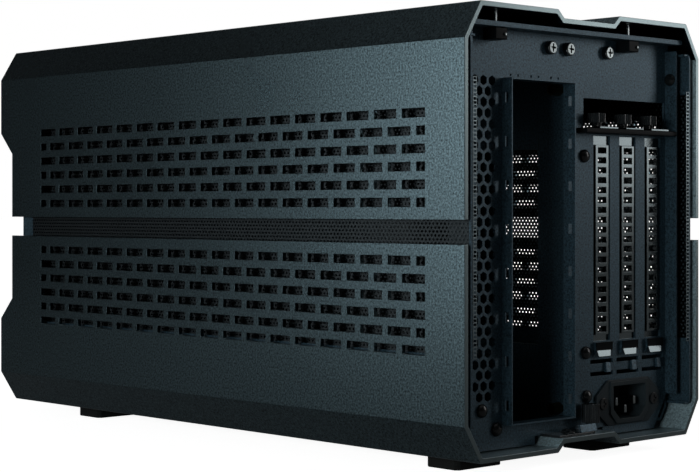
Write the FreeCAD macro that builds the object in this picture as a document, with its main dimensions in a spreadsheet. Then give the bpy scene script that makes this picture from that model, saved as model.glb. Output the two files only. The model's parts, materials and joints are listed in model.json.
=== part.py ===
import FreeCAD, Part
import os
import Sketcher

# Mini-ITX computer case: two folded outer shells round a sheet-metal chassis.
# Millimetres. +Z is up and +Y points to the rear, where the connectors are.
# The origin is the middle of the footprint, on the surface the feet stand on.

SIZES = {
    # Outer shells: each is one folded sheet, open at the front and the rear.
    "shell_width": 174.0,
    "shell_length": 377.0,
    "shell_height": 207.0,
    "shell_wall": 2.4,
    "bend_radius": 1.2,
    "bevel_width": 10.5,
    "bevel_height": 17.0,
    "channel_top_width": 45.6,
    "channel_floor_width": 37.0,
    "channel_depth": 4.0,
    "band_height": 11.0,
    "front_step_depth": 12.0,
    "front_step_start": 54.8,
    "front_step_rise": 12.2,
    # Rows of slots in the shells' sides, in a brick pattern.
    "slot_count": 17,
    "slot_length": 14.5,
    "slot_height": 4.0,
    "slot_pitch": 18.45,
    "slot_row_pairs": 3,
    "slot_row_pitch": 8.15,
    "slot_band_margin": 5.8,
    "slot_rear_margin": 24.7,
    # Chassis: plates joined at their edges.
    "chassis_width": 156.0,
    "chassis_sheet": 1.2,
    "roof_sheet": 1.4,
    "roof_gap": 6.6,
    "roof_overhang": 9.0,
    "roof_hem_depth": 2.4,
    "roof_hem_height": 1.0,
    "side_flange": 12.0,
    "front_setback": 16.1,
    "rear_setback": 12.5,
    "floor_clearance": 0.6,
    "floor_bevel_width": 4.0,
    "floor_bevel_height": 6.5,
    "end_bevel_width": 10.5,
    "end_bevel_height": 17.0,
    "rear_flange_depth": 6.8,
    "rear_flange_margin": 3.0,
    # Perforated inner side panels, shallow trays.
    "side_panel_reach": 81.8,
    "side_panel_sheet": 1.0,
    "side_panel_rear_setback": 1.3,
    "side_panel_edge_gap": 15.0,
    # Opening for the main board's connectors, with its collar.
    "board_opening_width": 44.45,
    "board_opening_height": 158.75,
    "board_opening_x": 25.4,
    "board_opening_z": 101.2,
    "collar_wall": 0.8,
    "collar_depth": 6.0,
    "collar_notch_count": 8,
    "collar_notch_pitch": 20.3,
    "collar_notch_height": 4.7,
    "collar_notch_depth": 2.0,
    "lacing_pairs": 3,
    "lacing_pitch": 14.4,
    "lacing_spread": 5.2,
    "lacing_hole": 1.0,
    "lacing_rise": 1.6,
    # Main board tray with its four standoffs.
    "tray_face_x": -6.0,
    "tray_length": 274.8,
    "tray_flange": 4.0,
    "tray_window_rear": 23.8,
    "tray_window_length": 104.2,
    "tray_window_low": 54.0,
    "tray_window_height": 96.0,
    "board_hole_spacing_y": 157.48,
    "board_hole_spacing_z": 154.94,
    "board_hole_rear": 10.16,
    "standoff_height": 6.35,
    "standoff_radius": 2.9,
    "standoff_bore_radius": 1.45,
    # Bracket for the power supply, across the board side.
    "supply_bay_length": 110.0,
    "supply_opening_width": 58.0,
    "supply_opening_height": 118.0,
    # Expansion slots.
    "card_count": 3,
    "card_pitch": 20.32,
    "card_first_x": -24.5,
    "card_opening_width": 12.8,
    "card_opening_low": 56.2,
    "card_opening_height": 100.3,
    "card_window_height": 14.7,
    "card_window_near_margin": 7.6,
    "card_window_far_margin": 3.2,
    "tail_slit_width": 17.4,
    "tail_slit_height": 2.0,
    "tail_slit_drop": 10.0,
    "tail_slit_spacing": 6.0,
    "tail_tongue_width": 12.4,
    "tail_tongue_height": 6.6,
    "tail_tongue_rise": 1.6,
    "tail_tongue_slope": 2.4,
    "tail_tongue_gap": 0.6,
    "cover_width": 18.4,
    "cover_sheet": 0.9,
    "cover_overlap": 3.0,
    "cover_ridge_width": 10.0,
    "cover_ridge_rise": 1.5,
    "cover_ridge_low_margin": 3.1,
    "cover_ridge_high_margin": 4.5,
    "cover_tab_width": 14.0,
    "cover_tab_shift": 2.2,
    "cover_tab_setback": 1.0,
    "vent_count": 19,
    "vent_pitch": 4.86,
    "vent_width": 6.4,
    "vent_height": 2.9,
    "shelf_sheet": 2.4,
    "shelf_depth": 7.5,
    "shelf_inner_reach": 4.0,
    "shelf_gap": 3.3,
    # Hexagonal vents beside the board opening.
    "hexagon_flats": 4.2,
    "hexagon_pitch": 5.77,
    "hexagon_x": 61.0,
    "hexagon_top_z": 179.7,
    "hexagon_row_pairs": 15,
    # Power inlet.
    "inlet_x": -44.2,
    "inlet_z": 25.4,
    "inlet_width": 50.0,
    "inlet_height": 22.4,
    "inlet_flat_width": 32.0,
    "inlet_end_height": 8.0,
    "inlet_flange": 1.2,
    "inlet_boss_width": 30.0,
    "inlet_boss_height": 21.0,
    "inlet_boss_bevel": 5.0,
    "inlet_boss_rise": 0.8,
    "inlet_body_depth": 17.0,
    "inlet_wall": 2.4,
    "inlet_cut_clearance": 0.3,
    "pin_width": 2.0,
    "pin_height": 4.0,
    "pin_length": 14.0,
    "pin_spacing": 14.0,
    "pin_earth_drop": 4.0,
    # Thumbscrews, with fluted heads.
    "knob_flutes": 16,
    "knob_radius": 4.3,
    "knob_height": 4.6,
    "knob_neck_radius": 2.4,
    "knob_neck_height": 1.9,
    "slot_screw_shift": 8.0,
    "base_knob_height": 9.0,
    "base_knob_neck_height": 4.6,
    "base_knob_x": -9.2,
    "base_knob_inset": 7.0,
    # Clip plate that holds the lower shell at the rear.
    "clip_plate_width": 26.0,
    "clip_plate_x": 7.5,
    "clip_plate_sheet": 1.2,
    "clip_plate_inset": 1.5,
    # Snap catches under the roof, and the studs of the upper shell.
    "catch_right_x": 57.5,
    "catch_left_x": -39.8,
    "catch_width": 8.0,
    "catch_depth": 8.0,
    "catch_height": 5.6,
    "catch_base": 1.2,
    "stud_radius": 0.8,
    "stud_tip_length": 3.0,
    "stud_collar_radius": 1.6,
    "stud_collar_height": 1.2,
    "stud_bore_clearance": 0.05,
    "stud_hole_clearance": 0.4,
    # Feet.
    "foot_height": 7.0,
    "foot_width": 31.5,
    "foot_length": 21.0,
    "foot_side_inset": 22.1,
    "foot_rear_inset": 25.2,
    "foot_front_inset": 47.8,
    "foot_corner_bevel": 2.0,
    # Power button and connector port on the front panel.
    "button_drop": 27.6,
    "button_radius": 6.0,
    "button_rise": 1.6,
    "button_depth": 4.0,
    "button_travel": 1.5,
    "button_clearance": 0.3,
    "housing_wall": 1.8,
    "housing_back": 1.2,
    "port_drop": 24.0,
    "port_width": 10.4,
    "port_height": 4.6,
    "port_wall": 0.7,
    "port_rise": 0.6,
    "port_depth": 8.0,
}

doc = FreeCAD.newDocument("computer_case")
sheet = doc.addObject("Spreadsheet::Sheet", "dims")


class Size:
    """A dimension: its value, and the text that ties a feature to the sheet."""

    def __init__(self, value, text):
        self.value = value
        self.text = text

    def __add__(self, other):
        other = as_size(other)
        return Size(self.value + other.value, "(%s + %s)" % (self.text, other.text))

    def __radd__(self, other):
        return as_size(other) + self

    def __sub__(self, other):
        other = as_size(other)
        return Size(self.value - other.value, "(%s - %s)" % (self.text, other.text))

    def __rsub__(self, other):
        return as_size(other) - self

    def __mul__(self, factor):
        return Size(self.value * factor, "(%s * %s)" % (self.text, factor))

    __rmul__ = __mul__

    def __truediv__(self, factor):
        return Size(self.value / factor, "(%s / %s)" % (self.text, factor))

    def __neg__(self):
        return Size(-self.value, "(0 - %s)" % self.text)


def as_size(number):
    """Gives a plain number the form of a size."""
    if isinstance(number, Size):
        return number
    return Size(number, "(%s)" % number)


class Sizes:
    """Every named size of the sheet, as an attribute."""

    def __init__(self, table):
        for row, (name, value) in enumerate(table.items(), start=1):
            sheet.set("A%d" % row, name)
            sheet.set("B%d" % row, str(value))
            sheet.setAlias("B%d" % row, name)
            setattr(self, name, Size(value, "dims." + name))


size = Sizes(SIZES)
doc.recompute()
parts = []


def bind(item, path, value):
    item.setExpression(path, as_size(value).text)


def sub_part(item, label):
    """Marks a finished object as a piece of the case."""
    item.Label = label
    parts.append(item)
    return item


def new_body(label):
    body = doc.addObject("PartDesign::Body", label)
    return sub_part(body, label)


def origin_item(body, role):
    for item in body.Origin.OriginFeatures:
        if item.Role == role:
            return item
    raise ValueError("no origin item " + role)


def new_sketch(body, name, role, offset=None):
    """A sketch on an origin plane; the offset runs along the plane's normal."""
    sketch = body.newObject("Sketcher::SketchObject", name)
    sketch.AttachmentSupport = [(origin_item(body, role), "")]
    sketch.MapMode = "FlatFace"
    if offset is not None:
        bind(sketch, "AttachmentOffset.Base.z", offset)
    return sketch


def sketch_facing_rear(body, name, y):
    """A sketch in X and Z at a place along Y."""
    return new_sketch(body, name, "XZ_Plane", -as_size(y))


def sketch_facing_side(body, name, x=None):
    """A sketch in Y and Z at a place along X."""
    return new_sketch(body, name, "YZ_Plane", x)


def sketch_facing_up(body, name, z):
    """A sketch in X and Y at a height."""
    return new_sketch(body, name, "XY_Plane", z)


def pin_point(sketch, line, position, point):
    """Ties one point of a line or circle to the sketch's axes."""
    for kind, axis, value in (("DistanceX", -2, point[0]), ("DistanceY", -1, point[1])):
        value = as_size(value)
        if value.value == 0 and "dims" not in value.text:
            sketch.addConstraint(Sketcher.Constraint("PointOnObject", line, position, axis))
            continue
        index = sketch.addConstraint(Sketcher.Constraint(kind, -1, 1, line, position, value.value))
        bind(sketch, "Constraints[%d]" % index, value)


def outline(sketch, points):
    """A closed outline of straight lines through points bound to the sheet."""
    corners = []
    for x, y in points:
        corners.append(FreeCAD.Vector(as_size(x).value, as_size(y).value, 0))
    first = sketch.GeometryCount
    count = len(corners)
    for index in range(count):
        sketch.addGeometry(Part.LineSegment(corners[index], corners[(index + 1) % count]))
    for index in range(count):
        following = first + (index + 1) % count
        sketch.addConstraint(Sketcher.Constraint("Coincident", first + index, 2, following, 1))
    for index, point in enumerate(points):
        pin_point(sketch, first + index, 1, point)


def rectangle(sketch, low, high):
    outline(sketch, [low, (high[0], low[1]), high, (low[0], high[1])])


def centred_rectangle(sketch, x, y, width, height):
    rectangle(sketch, (x - width / 2, y - height / 2), (x + width / 2, y + height / 2))


def circle(sketch, x, y, radius):
    centre = FreeCAD.Vector(as_size(x).value, as_size(y).value, 0)
    line = sketch.addGeometry(Part.Circle(centre, FreeCAD.Vector(0, 0, 1), radius.value))
    index = sketch.addConstraint(Sketcher.Constraint("Radius", line, radius.value))
    bind(sketch, "Constraints[%d]" % index, radius)
    pin_point(sketch, line, 3, (x, y))


def pad(body, sketch, length, backwards=False, both_ways=False):
    """Pads a sketch along its normal, against it, or half each way."""
    feature = body.newObject("PartDesign::Pad", sketch.Name + "_pad")
    feature.Profile = sketch
    bind(feature, "Length", length)
    feature.Reversed = backwards
    if both_ways:
        feature.SideType = "Symmetric"
    doc.recompute()
    return feature


def cut(body, sketch, length=None, backwards=False):
    """Cuts a sketch through the whole piece both ways, or to a depth one way."""
    before = body.Shape.Volume
    feature = body.newObject("PartDesign::Pocket", sketch.Name + "_cut")
    feature.Profile = sketch
    if length is None:
        feature.SideType = "Symmetric"
        feature.Type = "ThroughAll"
    else:
        bind(feature, "Length", length)
        feature.Reversed = backwards
    doc.recompute()
    if not body.Shape.Volume < before:
        raise ValueError("nothing was cut by " + sketch.Name)
    return feature


def repeat(body, feature, role, count, pitch, backwards=False):
    """Repeats a feature in a row along an origin axis."""
    pattern = body.newObject("PartDesign::LinearPattern", feature.Name + "_row")
    pattern.Originals = [feature]
    pattern.Direction = (origin_item(body, role), [""])
    pattern.Mode = "Spacing"
    pattern.Reversed = backwards
    bind(pattern, "Offset", pitch)
    bind(pattern, "Occurrences", count)
    body.Tip = pattern
    doc.recompute()
    return pattern


def faces_where(shape, test):
    """Names of the flat faces whose normal and centre pass a test."""
    names = []
    for index, face in enumerate(shape.Faces, start=1):
        if test(face.normalAt(0, 0), face.CenterOfMass):
            names.append("Face%d" % index)
    return names


def edges_where(shape, test):
    """Names of the edges whose first and last point pass a test."""
    names = []
    for index, edge in enumerate(shape.Edges, start=1):
        if test(edge.Vertexes[0].Point, edge.Vertexes[-1].Point):
            names.append("Edge%d" % index)
    return names


def hollow(body, feature, wall, open_test):
    """Turns a solid into a sheet of even thickness, open at the faces that pass a test."""
    feature_wall = body.newObject("PartDesign::Thickness", feature.Name + "_wall")
    feature_wall.Base = (feature, faces_where(feature.Shape, open_test))
    feature_wall.Reversed = True
    feature_wall.Join = "Intersection"
    bind(feature_wall, "Value", wall)
    doc.recompute()
    return feature_wall


def round_edges(body, feature, radius, test):
    fillet = body.newObject("PartDesign::Fillet", feature.Name + "_round")
    fillet.Base = (feature, edges_where(feature.Shape, test))
    bind(fillet, "Radius", radius)
    doc.recompute()
    return fillet


def bevel_edges(body, feature, width, test):
    chamfer = body.newObject("PartDesign::Chamfer", feature.Name + "_bevel")
    chamfer.Base = (feature, edges_where(feature.Shape, test))
    bind(chamfer, "Size", width)
    doc.recompute()
    return chamfer


def place(item, x, y, z):
    for axis, value in zip("xyz", (x, y, z)):
        bind(item, "Placement.Base." + axis, value)


def cylinder(name, radius, height, x, y, z, along_y=False):
    """A cylinder that stands on a point, or runs from it towards the rear."""
    item = doc.addObject("Part::Cylinder", name)
    bind(item, "Radius", radius)
    bind(item, "Height", height)
    if along_y:
        item.Placement.Rotation = FreeCAD.Rotation(FreeCAD.Vector(1, 0, 0), -90)
    place(item, x, y, z)
    return item


def prism(name, sides, radius, height, x, y, z):
    """An upright prism that stands on a point; the radius reaches its corners."""
    item = doc.addObject("Part::Prism", name)
    bind(item, "Polygon", sides)
    bind(item, "Circumradius", radius)
    bind(item, "Height", height)
    place(item, x, y, z)
    return item


def box(name, low, lengths):
    item = doc.addObject("Part::Box", name)
    for side, length in zip(("Length", "Width", "Height"), lengths):
        bind(item, side, length)
    place(item, *low)
    return item


def fuse(name, items):
    joined = doc.addObject("Part::MultiFuse", name)
    joined.Shapes = items
    return joined


def subtract(name, base, tool):
    result = doc.addObject("Part::Cut", name)
    result.Base = base
    result.Tool = tool
    return result


def group(label, items):
    """Identical loose pieces that share one name."""
    compound = doc.addObject("Part::Compound", label)
    compound.Links = items
    return sub_part(compound, label)


HEXAGON = 6

# Places that several pieces share.
half_width = size.shell_width / 2
half_length = size.shell_length / 2
mid_z = size.foot_height + size.shell_height / 2
shell_top = size.foot_height + size.shell_height
shell_floor = size.foot_height + size.shell_wall
band_low = mid_z - size.band_height / 2
band_high = mid_z + size.band_height / 2
chassis_half = size.chassis_width / 2
panel_half = chassis_half - size.chassis_sheet
roof_top = shell_top - size.shell_wall - size.roof_gap
roof_under = roof_top - size.roof_sheet
channel_top = shell_floor + size.channel_depth
floor_under = channel_top
floor_top = floor_under + size.roof_sheet
end_low = shell_floor + size.floor_clearance
button_z = roof_under - size.button_drop
front_face = -half_length + size.front_setback
front_inner = front_face + size.chassis_sheet
rear_face = half_length - size.rear_setback
rear_inner = rear_face - size.chassis_sheet


def make_shell(label, edge_z, far_z, upward):
    """One folded shell from the band's edge to the top or the bottom of the case."""
    sign = 1 if upward else -1
    bend_z = far_z - sign * size.bevel_height
    channel_z = far_z - sign * size.channel_depth
    half_profile = [
        (half_width, edge_z),
        (half_width, bend_z),
        (half_width - size.bevel_width, far_z),
        (size.channel_top_width / 2, far_z),
        (size.channel_floor_width / 2, channel_z),
    ]
    mirrored = [(-x, z) for x, z in reversed(half_profile)]
    body = new_body(label)
    profile = sketch_facing_rear(body, label + "_profile", 0)
    outline(profile, half_profile + mirrored)
    block = pad(body, profile, size.shell_length, both_ways=True)
    sheet_metal = hollow(body, block, size.shell_wall, lambda normal, centre: (
        abs(normal.y) > 0.9 or abs(centre.z - edge_z.value) < 0.01))
    round_edges(body, sheet_metal, size.bend_radius, lambda start, end: (
        abs(start.y - end.y) > size.shell_length.value / 2
        and abs(start.z - edge_z.value) > size.shell_wall.value))
    cut_front_step(body, label, edge_z, sign)
    cut_side_slots(body, label, edge_z, sign)


def cut_front_step(body, label, edge_z, sign):
    """The side walls step back at the front, towards the band."""
    start_z = mid_z + sign * size.front_step_start
    step_y = -half_length + size.front_step_depth
    step = sketch_facing_side(body, label + "_step")
    outline(step, [
        (-half_length, mid_z),
        (step_y, mid_z),
        (step_y, start_z - sign * size.front_step_rise),
        (-half_length, start_z),
    ])
    cut(body, step)


def cut_side_slots(body, label, edge_z, sign):
    """Pairs of rows in a brick pattern; the row next to the band starts with a short slot."""
    rear_y = half_length - size.slot_rear_margin
    front_y = rear_y - size.slot_pitch * (SIZES["slot_count"] - 1) - size.slot_length
    short = size.slot_length - size.slot_pitch / 2
    near_z = edge_z + sign * size.slot_band_margin

    def slots(name, first_row, ends):
        row_sketch = sketch_facing_side(body, label + name)
        for pair in range(SIZES["slot_row_pairs"]):
            low_z = near_z + sign * size.slot_row_pitch * (first_row + 2 * pair)
            for near_y, length in ends:
                rectangle(row_sketch, (near_y - length, low_z), (near_y, low_z + sign * size.slot_height))
        return cut(body, row_sketch)

    slots("_short_slots", 0, [(rear_y, short), (front_y + short, short)])
    offset_slots = slots("_offset_slots", 0, [(rear_y - size.slot_pitch / 2, size.slot_length)])
    repeat(body, offset_slots, "Y_Axis", size.slot_count - 1, size.slot_pitch, backwards=True)
    even_slots = slots("_even_slots", 1, [(rear_y, size.slot_length)])
    repeat(body, even_slots, "Y_Axis", size.slot_count, size.slot_pitch, backwards=True)


def make_roof():
    """Flat roof plate with a hemmed rear edge and square holes for the studs."""
    rear_y = rear_face + size.roof_overhang
    body = new_body("chassis_roof")
    plate = sketch_facing_up(body, "roof_plate", roof_under)
    rectangle(plate, (-chassis_half, front_face), (chassis_half, rear_y))
    pad(body, plate, size.roof_sheet)
    hem = sketch_facing_up(body, "roof_hem", roof_top)
    rectangle(hem, (-chassis_half, rear_y - size.roof_hem_depth), (chassis_half, rear_y))
    pad(body, hem, size.roof_hem_height)
    holes = sketch_facing_up(body, "stud_holes", roof_under)
    hole_width = (size.stud_radius + size.stud_hole_clearance) * 2
    for x, y in stud_places():
        centred_rectangle(holes, x, y, hole_width, hole_width)
    cut(body, holes)


def make_roof_rails():
    """Strips that stand under the roof's long edges and carry the side panels."""
    for label, low_x in (("right_roof_rail", panel_half), ("left_roof_rail", -chassis_half)):
        rail = box(label + "_strip", (low_x, front_face, roof_top - size.side_flange), (
            size.chassis_sheet,
            rear_face - front_face,
            size.side_flange - size.roof_sheet,
        ))
        sub_part(rail, label)


def make_floor():
    """Floor tray that rests on the lower shell's channel, with bevelled upright sides."""
    half_profile = [
        (chassis_half, floor_under + size.side_flange),
        (chassis_half, floor_under + size.floor_bevel_height),
        (chassis_half - size.floor_bevel_width, floor_under),
    ]
    mirrored = [(-x, z) for x, z in reversed(half_profile)]
    body = new_body("chassis_floor")
    profile = sketch_facing_rear(body, "floor_profile", rear_inner)
    outline(profile, half_profile + mirrored)
    block = pad(body, profile, rear_inner - front_inner)
    hollow(body, block, size.roof_sheet, lambda normal, centre: (
        abs(normal.y) > 0.9 or normal.z > 0.9))


def stud_places():
    """Places of the four studs and catches, clear of the front and rear panels."""
    rear_y = rear_face + size.catch_depth / 2
    front_y = front_inner + size.catch_depth / 2
    places = []
    for y in (rear_y, front_y):
        for x in (size.catch_right_x, size.catch_left_x):
            places.append((x, y))
    return places


def end_plate(body, name, y):
    """Plate across one end of the chassis, bevelled and relieved to clear the lower shell."""
    relief_z = channel_top + size.floor_clearance
    relief_x = size.channel_top_width / 2 + size.shell_wall
    half_outline = [
        (panel_half, roof_under),
        (panel_half, end_low + size.end_bevel_height),
        (panel_half - size.end_bevel_width, end_low),
        (relief_x, end_low),
        (relief_x, relief_z),
    ]
    mirrored = [(-x, z) for x, z in reversed(half_outline)]
    plate = sketch_facing_rear(body, name, y)
    outline(plate, half_outline + mirrored)
    pad(body, plate, size.chassis_sheet)


def make_rear_panel():
    """Rear plate with openings, vents, a collar and side flanges."""
    body = new_body("rear_panel")
    end_plate(body, "rear_plate", rear_face)
    flanges = sketch_facing_rear(body, "rear_flanges", rear_face)
    for side in (-1, 1):
        edge_x = side * panel_half
        rectangle(
            flanges,
            (edge_x - side * size.chassis_sheet, end_low + size.end_bevel_height),
            (edge_x, roof_under - size.rear_flange_margin),
        )
    pad(body, flanges, size.rear_flange_depth, backwards=True)
    cut_board_opening(body)
    cut_lacing_holes(body)
    cut_card_openings(body)
    cut_hexagons(body)
    inlet = sketch_facing_rear(body, "inlet_opening", rear_face)
    centred_rectangle(
        inlet, size.inlet_x, size.inlet_z,
        size.inlet_boss_width + size.inlet_cut_clearance * 2,
        size.inlet_boss_height + size.inlet_cut_clearance * 2,
    )
    cut(body, inlet)


def cut_board_opening(body):
    """The opening for the board's connectors, in a notched collar."""
    x = size.board_opening_x
    z = size.board_opening_z
    collar = sketch_facing_rear(body, "collar", rear_face)
    centred_rectangle(
        collar, x, z,
        size.board_opening_width + size.collar_wall * 2,
        size.board_opening_height + size.collar_wall * 2,
    )
    pad(body, collar, size.collar_depth, backwards=True)
    opening = sketch_facing_rear(body, "board_opening", rear_face)
    centred_rectangle(opening, x, z, size.board_opening_width, size.board_opening_height)
    cut(body, opening)
    wall_x = x - size.board_opening_width / 2 - size.collar_wall
    notch = sketch_facing_side(body, "collar_notch", wall_x)
    first_z = z - size.collar_notch_pitch * ((SIZES["collar_notch_count"] - 1) / 2)
    centred_rectangle(
        notch, rear_face + size.collar_depth / 2, first_z,
        size.collar_notch_depth, size.collar_notch_height,
    )
    across = size.board_opening_width + size.collar_wall * 2
    notches = cut(body, notch, across, backwards=True)
    repeat(body, notches, "Z_Axis", size.collar_notch_count, size.collar_notch_pitch)


def cut_lacing_holes(body):
    """Pairs of small square holes above the collar."""
    low_x = size.board_opening_x - size.lacing_pitch * ((SIZES["lacing_pairs"] - 1) / 2)
    z = size.board_opening_z + size.board_opening_height / 2 + size.collar_wall + size.lacing_rise
    holes = sketch_facing_rear(body, "lacing_holes", rear_face)
    for pair in range(SIZES["lacing_pairs"]):
        for side in (-1, 1):
            x = low_x + size.lacing_pitch * pair + side * size.lacing_spread / 2
            centred_rectangle(holes, x, z, size.lacing_hole, size.lacing_hole)
    cut(body, holes)


def card_window():
    """Left, right and low edge of the window above the shelf of the expansion slots."""
    first_edge = size.card_first_x + size.card_opening_width / 2 + size.card_window_near_margin
    last_x = size.card_first_x - size.card_pitch * (SIZES["card_count"] - 1)
    last_edge = last_x - size.card_opening_width / 2 - size.card_window_far_margin
    low_z = size.card_opening_low + size.card_opening_height + size.shelf_gap
    return first_edge, last_edge, low_z


def cut_card_openings(body):
    """Expansion slots, the slits and tongues below them, and the window above."""
    opening = sketch_facing_rear(body, "card_opening", rear_face)
    low_x = size.card_first_x - size.card_opening_width / 2
    rectangle(
        opening,
        (low_x, size.card_opening_low),
        (low_x + size.card_opening_width, size.card_opening_low + size.card_opening_height),
    )
    repeat(body, cut(body, opening), "X_Axis", size.card_count, size.card_pitch, backwards=True)
    slits = sketch_facing_rear(body, "tail_slits", rear_face)
    for row in range(2):
        slit_z = size.card_opening_low - size.tail_slit_drop - size.tail_slit_spacing * row
        centred_rectangle(slits, size.card_first_x, slit_z, size.tail_slit_width, size.tail_slit_height)
    repeat(body, cut(body, slits), "X_Axis", size.card_count, size.card_pitch, backwards=True)
    tongue = sketch_facing_side(body, "tail_tongue", size.card_first_x - size.tail_tongue_width / 2)
    tongue_top = size.card_opening_low - size.tail_tongue_gap
    tongue_low = tongue_top - size.tail_tongue_height
    tongue_face = rear_face + size.tail_tongue_rise
    outline(tongue, [
        (rear_face, tongue_low),
        (tongue_face, tongue_low + size.tail_tongue_slope),
        (tongue_face, tongue_top),
        (rear_face, tongue_top),
    ])
    tongues = pad(body, tongue, size.tail_tongue_width)
    repeat(body, tongues, "X_Axis", size.card_count, size.card_pitch, backwards=True)
    first_edge, last_edge, low_z = card_window()
    window = sketch_facing_rear(body, "card_window", rear_face)
    rectangle(window, (last_edge, low_z), (first_edge, low_z + size.card_window_height))
    cut(body, window)


def cut_hexagons(body):
    """Two interleaved fields of hexagonal vents, three and two columns wide."""
    half_flat = size.hexagon_flats / 2
    point = size.hexagon_flats / 3 ** 0.5
    row_step = size.hexagon_pitch * (3 ** 0.5 / 2)
    for name, columns, z in (("wide_vents", 3, size.hexagon_top_z),
                             ("narrow_vents", 2, size.hexagon_top_z - row_step)):
        vents = sketch_facing_rear(body, name, rear_face)
        for column in range(columns):
            x = size.hexagon_x + size.hexagon_pitch * (column - (columns - 1) / 2)
            outline(vents, [
                (x, z + point),
                (x - half_flat, z + point / 2),
                (x - half_flat, z - point / 2),
                (x, z - point),
                (x + half_flat, z - point / 2),
                (x + half_flat, z + point / 2),
            ])
        repeat(body, cut(body, vents), "Z_Axis", size.hexagon_row_pairs, row_step * 2, backwards=True)


def make_front_panel():
    """Front plate with holes for the button and the connector port."""
    body = new_body("front_panel")
    end_plate(body, "front_plate", front_inner)
    hole = sketch_facing_rear(body, "button_hole", front_inner)
    circle(hole, 0, button_z, size.button_radius + size.button_clearance)
    cut(body, hole)
    port = sketch_facing_rear(body, "port_hole", front_inner)
    centred_rectangle(port, as_size(0), button_z - size.port_drop, size.port_width, size.port_height)
    cut(body, port)


def make_side_panel(label, side):
    """A shallow tray with its open side towards the chassis."""
    low_z = size.foot_height + size.side_panel_edge_gap
    high_z = shell_top - size.side_panel_edge_gap
    body = new_body(label)
    plate = sketch_facing_side(body, label + "_plate", side * chassis_half)
    rectangle(
        plate,
        (front_face, low_z),
        (half_length - size.side_panel_rear_setback, high_z),
    )
    block = pad(body, plate, size.side_panel_reach - chassis_half, backwards=side < 0)
    hollow(body, block, size.side_panel_sheet, lambda normal, centre: (
        abs(centre.x - side * chassis_half.value) < 0.01))


def make_board_tray():
    """Main board tray: a plate along the case with a window and a rear flange."""
    body = new_body("board_tray")
    back_x = size.tray_face_x - size.chassis_sheet
    front_y = rear_inner - size.tray_length
    plate = sketch_facing_side(body, "tray_plate", back_x)
    rectangle(plate, (front_y, floor_top), (rear_inner, roof_under))
    pad(body, plate, size.chassis_sheet)
    flange = sketch_facing_rear(body, "tray_flange", rear_inner)
    rectangle(flange, (size.tray_face_x - size.tray_flange, floor_top), (back_x, roof_under))
    pad(body, flange, size.chassis_sheet)
    window = sketch_facing_side(body, "tray_window", back_x)
    window_rear = rear_inner - size.tray_window_rear
    rectangle(
        window,
        (window_rear - size.tray_window_length, size.tray_window_low),
        (window_rear, size.tray_window_low + size.tray_window_height),
    )
    cut(body, window)


def make_standoffs():
    """Four threaded standoffs on the pattern of a Mini-ITX main board."""
    rear_y = rear_inner - size.board_hole_rear
    items = []
    for row in (-1, 1):
        for y in (rear_y - size.board_hole_spacing_y, rear_y):
            z = size.board_opening_z + row * size.board_hole_spacing_z / 2
            name = "standoff_%d" % len(items)
            post = prism(name, HEXAGON, size.standoff_radius, size.standoff_height, size.tray_face_x, y, z)
            bore = cylinder(name + "_bore", size.standoff_bore_radius, size.standoff_height,
                            size.tray_face_x, y, z)
            for item in (post, bore):
                item.Placement.Rotation = FreeCAD.Rotation(FreeCAD.Vector(0, 1, 0), 90)
            items.append(subtract(name + "_bored", post, bore))
    group("board_standoffs", items)


def make_supply_bracket():
    """Plate across the board side with the opening for the power supply's socket face."""
    body = new_body("supply_bracket")
    bracket_y = front_inner + size.supply_bay_length + size.chassis_sheet
    plate = sketch_facing_rear(body, "bracket_plate", bracket_y)
    outer_x = panel_half - size.floor_bevel_width
    rectangle(plate, (size.tray_face_x, floor_top), (outer_x, roof_under))
    pad(body, plate, size.chassis_sheet)
    opening = sketch_facing_rear(body, "bracket_opening", bracket_y)
    centre_x = (size.tray_face_x + outer_x) / 2
    centred_rectangle(opening, centre_x, mid_z, size.supply_opening_width, size.supply_opening_height)
    cut(body, opening)


def make_shelf():
    """Shelf that the covers' tabs are screwed to."""
    low_z = size.card_opening_low + size.card_opening_height + size.shelf_gap - size.shelf_sheet
    shelf = box("shelf_plate", (
        -panel_half + size.chassis_sheet, rear_face, low_z,
    ), (
        panel_half - size.chassis_sheet - size.shelf_inner_reach, size.shelf_depth, size.shelf_sheet,
    ))
    sub_part(shelf, "slot_shelf")


def shelf_top():
    return size.card_opening_low + size.card_opening_height + size.shelf_gap


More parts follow.
